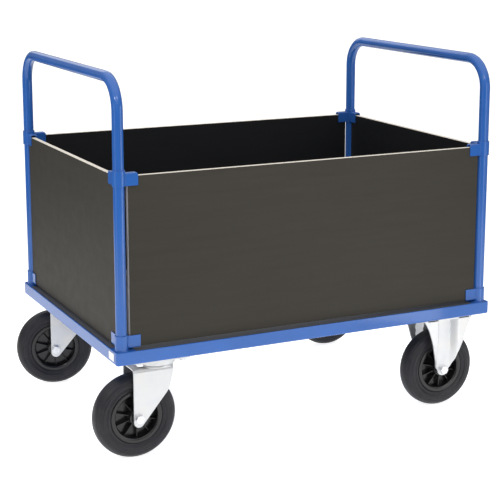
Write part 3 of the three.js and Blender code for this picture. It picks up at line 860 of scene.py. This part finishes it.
def axle_hex(height):
    """A hexagon on a flanged washer, its back face on z=0."""
    top = 1.9 * MM
    washer = lathe([
        (0, 0),
        (AXLE_WASHER_RADIUS, 0),
        (AXLE_WASHER_RADIUS, 1.4 * MM),
        (AXLE_WASHER_RADIUS - 0.5 * MM, top),
        (0, top),
    ], 48)
    return joined(washer, shifted(hex_head(AXLE_HEX, height), z=top))


def shaft(radius, low, high):
    """A rod along Z with chamfered ends."""
    tip = 1 * MM
    return lathe([
        (0, low),
        (radius - tip, low),
        (radius, low + tip),
        (radius, high - tip),
        (radius - tip, high),
        (0, high),
    ], 40)


def build_axle(corner, place):
    """The bolt's head is in front of the wheel and its nut behind, both on the fork's legs."""
    face = FORK_HALF_WIDTH + 0.3 * MM
    past_nut = 12 * MM
    front = Matrix.Rotation(math.pi / 2, 4, "X")
    back = Matrix.Rotation(-math.pi / 2, 4, "X")
    head = moved(axle_hex(7.6 * MM), Matrix.Translation((0, -face, 0)) @ front)
    rod = moved(shaft(AXLE_RADIUS, -face - past_nut, face), front)
    finished(f"{corner}_axle_bolt", moved(joined(head, rod), place), STEEL, 0.25 * MM, 2)
    nut = moved(axle_hex(9 * MM), Matrix.Translation((0, face, 0)) @ back)
    finished(f"{corner}_axle_nut", moved(nut, place), STEEL, 0.25 * MM, 2)


def build_wheel(corner):
    place = wheel_matrix(corner)
    radius = joint_of[f"{corner}_wheel_spin"]["pos_m"][2]  # the tyre stands on the floor
    finished(f"{corner}_tyre", moved(tyre(radius), place), RUBBER)
    finished(f"{corner}_rim", moved(rim(), place), PLASTIC, 0.3 * MM, 2)
    repaint(f"{corner}_wheel_bush", STEEL)
    build_axle(corner, place)


# ---- castors ---------------------------------------------------------------------------------------------
def pressed(section, low, high, outline):
    """Sheet folded to a section in YZ, cut to an outline in XZ."""
    folded = extrude(section, low, high, along_x)
    reach = 2 * PLATE_HALF_Y
    return trimmed(folded, extrude(outline, -reach, reach, along_y))


def castor_bolt(under):
    """A hexagon bolt's head and washer, hanging below the plate at the height given."""
    thickness = 1.6 * MM
    washer = lathe([(0, 0), (10 * MM, 0), (10 * MM, thickness), (0, thickness)], 40)
    bolt = joined(washer, shifted(hex_head(15 * MM, 6.4 * MM), z=thickness))
    return moved(bolt, Matrix.Translation((0, 0, under)) @ Matrix.Rotation(math.pi, 4, "X"))


def build_castor_bolts(corner, x, y, under):
    across, along = BOLT_PATTERN
    places = [(x + a, y + b) for a in (-across, across) for b in (-along, along)]
    for count, (bolt_x, bolt_y) in enumerate(places, 1):
        bolt = shifted(castor_bolt(under), bolt_x, bolt_y)
        piece(f"{corner}_mounting_bolt_{count}", bolt, STEEL, "frame", 0.25 * MM, (), 2)


def build_swivel_plate(corner, kingpin):
    low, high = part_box(f"{corner}_castor_plate")
    under = high.z - SHEET
    plate = rectangle(-PLATE_HALF_X, -PLATE_HALF_Y, PLATE_HALF_X, PLATE_HALF_Y, 12 * MM)
    cup = rounded([
        (CUP_RADIUS - 3 * MM, low.z, 0.8 * MM),
        (CUP_RADIUS, low.z, 1.2 * MM),
        (CUP_RADIUS, under - 3 * MM, 2.5 * MM),
        (CUP_RADIUS + 6 * MM, under + 1 * MM),
        (CUP_RADIUS - 16 * MM, under + 1 * MM),
        (CUP_RADIUS - 16 * MM, under - 4 * MM, 1 * MM),
        (CUP_RADIUS - 3 * MM, under - 4 * MM, 3 * MM),
    ])
    whole = joined(extrude(plate, under, high.z, along_z), lathe(cup, 96))
    finished(f"{corner}_castor_plate", shifted(whole, kingpin.x, kingpin.y), ZINC, 0.5 * MM, 2)
    build_castor_bolts(corner, kingpin.x, kingpin.y, under)


def build_ball_ring(corner, kingpin):
    low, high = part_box(f"{corner}_ball_ring")
    radius = (high.z - low.z) / 2
    track = (high.x - low.x) / 2 - radius
    height = (low.z + high.z) / 2
    balls = bmesh.new()
    count = 26
    for i in range(count):
        angle = 2 * math.pi * i / count
        place = Matrix.Translation((
            kingpin.x + track * math.cos(angle),
            kingpin.y + track * math.sin(angle),
            height,
        ))
        bmesh.ops.create_icosphere(balls, subdivisions=3, radius=radius, matrix=place)
    finished(f"{corner}_ball_ring", balls, STEEL)


def build_kingpin(corner, kingpin):
    low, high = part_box(f"{corner}_kingpin")
    nut_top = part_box(f"{corner}_fork")[1].z - 12.3 * MM  # just under the fork's crown
    nut = hex_head(24 * MM, nut_top - low.z - 1 * MM)
    head_radius = 14 * MM
    head = lathe([
        (0, high.z - 5 * MM),
        (head_radius, high.z - 5 * MM),
        (head_radius, high.z - 1 * MM),
        (head_radius - 1 * MM, high.z),
        (0, high.z),
    ], 48)
    whole = joined(
        moved(nut, Matrix.Translation((0, 0, nut_top)) @ Matrix.Rotation(math.pi, 4, "X")),
        shaft(8 * MM, low.z, high.z - 1 * MM),
        head,
    )
    finished(f"{corner}_kingpin", shifted(whole, kingpin.x, kingpin.y), STEEL, 0.25 * MM, 2)


def swivel_fork(top):
    """Legs and crown pressed from one sheet, with the lower race raised on the crown."""
    crown = top / MM - 6
    outside = FORK_HALF_WIDTH / MM
    inside = outside - SHEET / MM
    section = rounded(mm([
        (-outside, 60),
        (-outside, crown, 9),
        (outside, crown, 9),
        (outside, 60),
        (inside, 60),
        (inside, crown - 4, 5),
        (-inside, crown - 4, 5),
        (-inside, 60),
    ]), 8)
    outline = rounded(mm([
        (-66, crown + 10),
        (-66, 56.4, 12.5),
        (21, 161, 45),
        (31, 203, 25),
        (34, crown + 10),
    ]), 14)
    sheet = pressed(section, -80 * MM, 50 * MM, outline)
    race = lathe(rounded(mm([
        (8.3, crown - 5.5),
        (31, crown - 5.5, 4),
        (40, crown - 3),
        (43, crown - 1, 2),
        (41, crown + 3, 3),
        (36, crown + 5.6, 2),
        (31, crown + 4, 2),
        (27, crown + 6, 2),
        (8.3, crown + 6),
    ])), 96)
    return joined(sheet, race)


def build_swivel_castor(corner):
    kingpin = Vector(joint_of[f"{corner}_swivel"]["pos_m"])
    build_swivel_plate(corner, kingpin)
    build_ball_ring(corner, kingpin)
    build_kingpin(corner, kingpin)
    place = Matrix.Translation((kingpin.x, kingpin.y, 0)) @ axle_turn(corner)
    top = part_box(f"{corner}_fork")[1].z
    finished(f"{corner}_fork", moved(swivel_fork(top), place), ZINC, 0.7 * MM)


def at_height(stops, z):
    """Straight lines between (height, value) stops."""
    if z <= stops[0][0]:
        return stops[0][1]
    for (low, one), (high, two) in zip(stops, stops[1:]):
        if z <= high:
            return one + (two - one) * (z - low) / (high - low)
    return stops[-1][1]


def eased(share):
    """A smooth step from 0 to 1."""
    share = min(max(share, 0.0), 1.0)
    return share * share * (3 - 2 * share)


def fixed_leg(side, top):
    """One leg: an upright band down its middle, between flanges that flare out to the plate's long edges."""
    axle = joint_of["front_right_wheel_spin"]["pos_m"][2]
    half_widths = [(axle, FORK_TIP_RADIUS), *LEG_HALF_WIDTHS, (top, PLATE_HALF_X - 0.5 * MM)]
    depths = [(axle, FORK_HALF_WIDTH), *FLANGE_DEPTHS, (top, PLATE_HALF_Y)]
    tip_rows, leg_rows, columns = 10, 40, 36
    lowest = axle - FORK_TIP_RADIUS + 0.12 * MM  # just short of the point where the foot would close
    heights = [
        lowest + FORK_TIP_RADIUS * (1 - math.cos(math.pi / 2 * row / tip_rows)) for row in range(tip_rows + 1)
    ]
    heights += [axle + (top - axle) * row / leg_rows for row in range(1, leg_rows + 1)]
    rings = []
    for z in heights:
        drop = max(axle - z, 0.0)
        half = math.sqrt(FORK_TIP_RADIUS**2 - drop**2) if drop else at_height(half_widths, z)
        depth = at_height(depths, z)
        outer = []
        for column in range(columns + 1):
            x = half * (2 * column / columns - 1)
            flare = eased((abs(x) - BAND_HALF_WIDTH) / (FLANGE_START - BAND_HALF_WIDTH))
            outer.append((x, FORK_HALF_WIDTH + (depth - FORK_HALF_WIDTH) * flare))
        ring = [(x, side * y, z) for x, y in outer]
        ring += [(x, side * (y - SHEET), z) for x, y in reversed(outer)]
        rings.append(ring)
    return sweep(rings)


def fixed_fork(top):
    """Top plate with two legs pressed from the same sheet, whose tops end inside the plate."""
    plate = rectangle(-PLATE_HALF_X, -PLATE_HALF_Y, PLATE_HALF_X, PLATE_HALF_Y, 9 * MM)
    leg_top = top - 1.2 * MM
    return joined(extrude(plate, top - SHEET, top, along_z), *(fixed_leg(side, leg_top) for side in (-1, 1)))


def build_fixed_castor(corner):
    low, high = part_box(f"{corner}_fork")
    centre = (low + high) / 2
    finished(f"{corner}_fork", shifted(fixed_fork(high.z), centre.x, centre.y), ZINC, 0.5 * MM, 2)
    build_castor_bolts(corner, centre.x, centre.y, high.z - SHEET)


# ---- studio ----------------------------------------------------------------------------------------------
def build_floor():
    """A wide pale floor that glows softly round the trolley, as a light table does.

    In reflections it falls off to dark a few metres out, so that the tubes keep their dark edges.
    """
    half = 30.0
    floor = make_object("floor", sweep([
        [(-half, -half, z), (half, -half, z), (half, half, z), (-half, half, z)] for z in (-0.02, 0)
    ]))
    f = Finish("studio_floor", (0.84, 0.84, 0.84), 0.7, Specular_IOR_Level=0.1)
    f.paint(f.tint(f.noise(1.5, 3), 0.01))
    f.set("Emission Color", (1, 1, 1, 1))
    length = f.node("ShaderNodeVectorMath", Vector=f.place)
    length.operation = "LENGTH"
    distance = length.outputs["Value"]
    f.feed(f.shader.inputs["Emission Strength"], f.mapped(distance, (0.5, 2.2), (0.85, 0.3), smooth=True))
    dark = f.node("ShaderNodeBsdfDiffuse", Color=(0.06, 0.06, 0.06, 1))
    share = f.mapped(distance, (1.9, 3.2), (0.12, 1.0), smooth=True)
    in_reflections = f.math("MULTIPLY", f.node("ShaderNodeLightPath").outputs["Is Glossy Ray"], share)
    seen = f.node("ShaderNodeMixShader", Fac=in_reflections)
    f.feed(seen.inputs[1], f.shader.outputs["BSDF"])
    f.feed(seen.inputs[2], dark.outputs["BSDF"])
    f.feed(f.tree.nodes["Material Output"].inputs["Surface"], seen.outputs["Shader"])
    floor.data.materials.append(f.material)


def area_light(name, place, target, size, power, for_gloss_only=False):
    """A softbox. One for gloss only shows in reflections and lights nothing else."""
    light = bpy.data.lights.new(name, "AREA")
    light.shape = "RECTANGLE"
    light.size, light.size_y = size
    light.energy = power
    obj = bpy.data.objects.new(name, light)
    obj.location = place
    obj.rotation_euler = (Vector(target) - Vector(place)).to_track_quat("-Z", "Y").to_euler()
    obj.visible_camera = False
    obj.visible_diffuse = not for_gloss_only
    bpy.context.scene.collection.objects.link(obj)


def build_world():
    """The camera sees plain white. The light comes from a sky, dim at eye level and bright above."""
    world = bpy.data.worlds.new("studio")
    world.use_nodes = True
    bpy.context.scene.world = world
    tree = world.node_tree
    direction = tree.nodes.new("ShaderNodeTexCoord").outputs["Generated"]
    height = tree.nodes.new("ShaderNodeSeparateXYZ")
    tree.links.new(direction, height.inputs["Vector"])
    sky = tree.nodes.new("ShaderNodeValToRGB")
    tree.links.new(height.outputs["Z"], sky.inputs["Fac"])
    for element, position, level in zip(sky.color_ramp.elements, (0.28, 0.80), (0.17, 0.95)):
        element.position = position
        element.color = (level, level, level, 1)
    light = tree.nodes["Background"]
    tree.links.new(sky.outputs["Color"], light.inputs["Color"])
    light.inputs["Strength"].default_value = 1.5
    backdrop = tree.nodes.new("ShaderNodeBackground")
    backdrop.inputs["Color"].default_value = (1, 1, 1, 1)
    chosen = tree.nodes.new("ShaderNodeMixShader")
    tree.links.new(tree.nodes.new("ShaderNodeLightPath").outputs["Is Camera Ray"], chosen.inputs["Fac"])
    tree.links.new(light.outputs["Background"], chosen.inputs[1])
    tree.links.new(backdrop.outputs["Background"], chosen.inputs[2])
    tree.links.new(chosen.outputs["Shader"], tree.nodes["World Output"].inputs["Surface"])


def build_lights():
    """Two large soft lights, two small ones for the castors, and three strips that the tubes reflect."""
    middle = (deck_centre.x, 0, 0.45)
    left_wheel = (-0.44, -0.3, 0.1)
    right_wheel = (0.38, -0.3, 0.1)
    left_post = (-0.48, -0.33, 0.35)
    right_post = (0.48, -0.33, 0.35)
    area_light("key", (-1.2, -3.8, 2.6), middle, (2.4, 1.6), 9)
    area_light("left_box", (-1.75, -1.4, 1.75), left_wheel, (0.3, 0.3), 5)
    area_light("front_box", (-0.4, -1.6, 1.75), right_wheel, (0.3, 0.3), 2.2)
    area_light("left_strip", (-1.75, -0.55, 0.5), left_post, (0.4, 1.0), 1.5, for_gloss_only=True)
    area_light("middle_strip", (0.55, -1.15, 0.5), left_post, (0.6, 1.0), 3.5, for_gloss_only=True)
    area_light("right_strip", (1.5, -1.3, 0.5), right_post, (0.3, 1.0), 1.4, for_gloss_only=True)
    area_light("back_fill", (0.4, 3.4, 2.4), middle, (2.4, 1.6), 12)


def build_camera():
    """The camera stands to the left of the front, a little above the bows, with a long lens."""
    offset = Vector((-1.5219, -3.1348, 1.2095))
    heading, down = 0.4516, 0.1977
    camera = bpy.data.cameras.new("camera")
    camera.sensor_width = 36
    camera.lens = 100.05
    camera.shift_y = -0.10
    obj = bpy.data.objects.new("camera", camera)
    obj.location = Vector((deck_centre.x, 0, 0)) + offset
    obj.rotation_euler = (math.pi / 2 - down, 0, -heading)
    bpy.context.scene.collection.objects.link(obj)
    bpy.context.scene.camera = obj


# ---- assembly --------------------------------------------------------------------------------------------
build_rails()
build_channels()
build_deck_board()
build_bow("left_push_bow")
build_bow("right_push_bow")
build_sockets()
build_brackets()
build_panel("front_panel", 1, -1)
build_panel("back_panel", 1, 1)
build_panel("left_panel", 0, -1)
build_panel("right_panel", 0, 1)
build_label()
for swivel_corner in SWIVEL_CORNERS:
    build_swivel_castor(swivel_corner)
for fixed_corner in FIXED_CORNERS:
    build_fixed_castor(fixed_corner)
for wheel_corner in CORNERS:
    build_wheel(wheel_corner)
build_floor()
build_world()
build_lights()
build_camera()
bpy.context.scene.view_settings.view_transform = "Standard"
